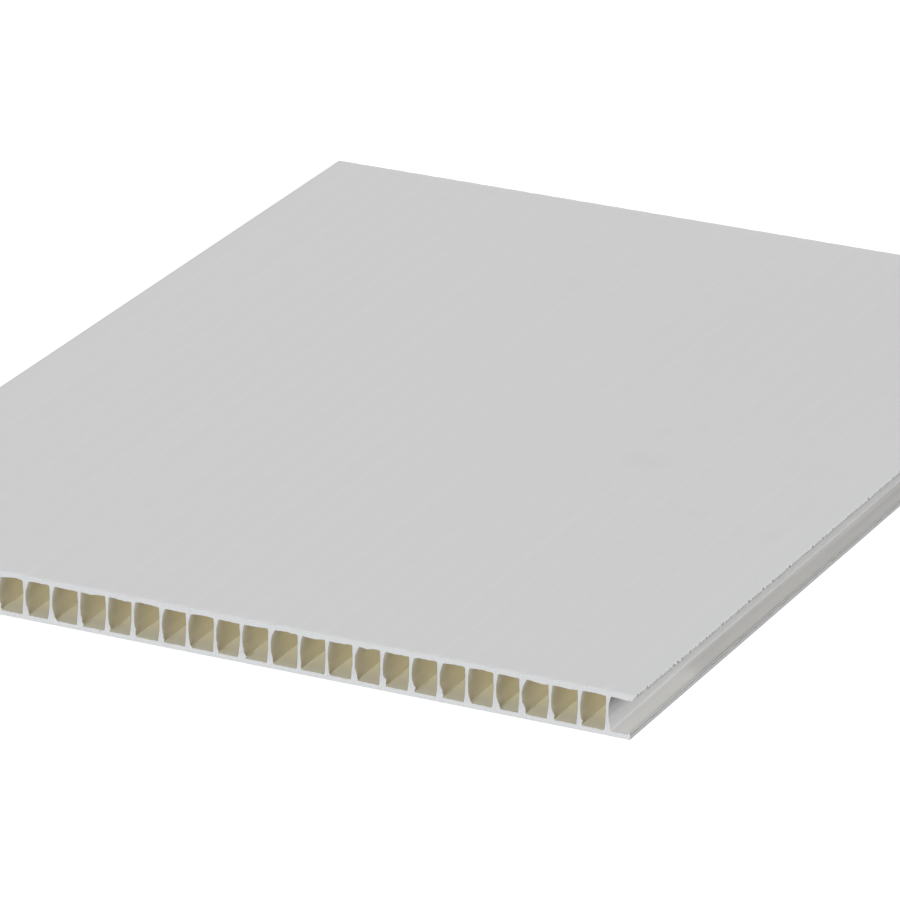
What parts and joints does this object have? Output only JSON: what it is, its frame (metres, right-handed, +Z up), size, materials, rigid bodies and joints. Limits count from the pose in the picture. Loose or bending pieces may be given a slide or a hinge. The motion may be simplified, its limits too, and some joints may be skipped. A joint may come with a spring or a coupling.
{
  "type": "hollow core panel",
  "caption": "Flat extruded wall and ceiling panel with a hollow ribbed core open at both sawn ends, one plain closed edge and one grooved edge.",
  "frame": {"origin": "middle of the back face that the panel lies on, at the middle of the whole width and length", "axes": "+Y along the cells, away from the sawn end that shows; +X across the cells, towards the grooved edge; +Z up, out of the show face"},
  "size_m": [0.1978, 0.257, 0.01],
  "materials": {
    "panel_white": "satin extruded plastic, off-white and slightly see-through in the thin webs, with rough sawn ends"
  },
  "bodies": {
    "root": {"hollow_panel": "panel_white"}
  },
  "joints": []
}
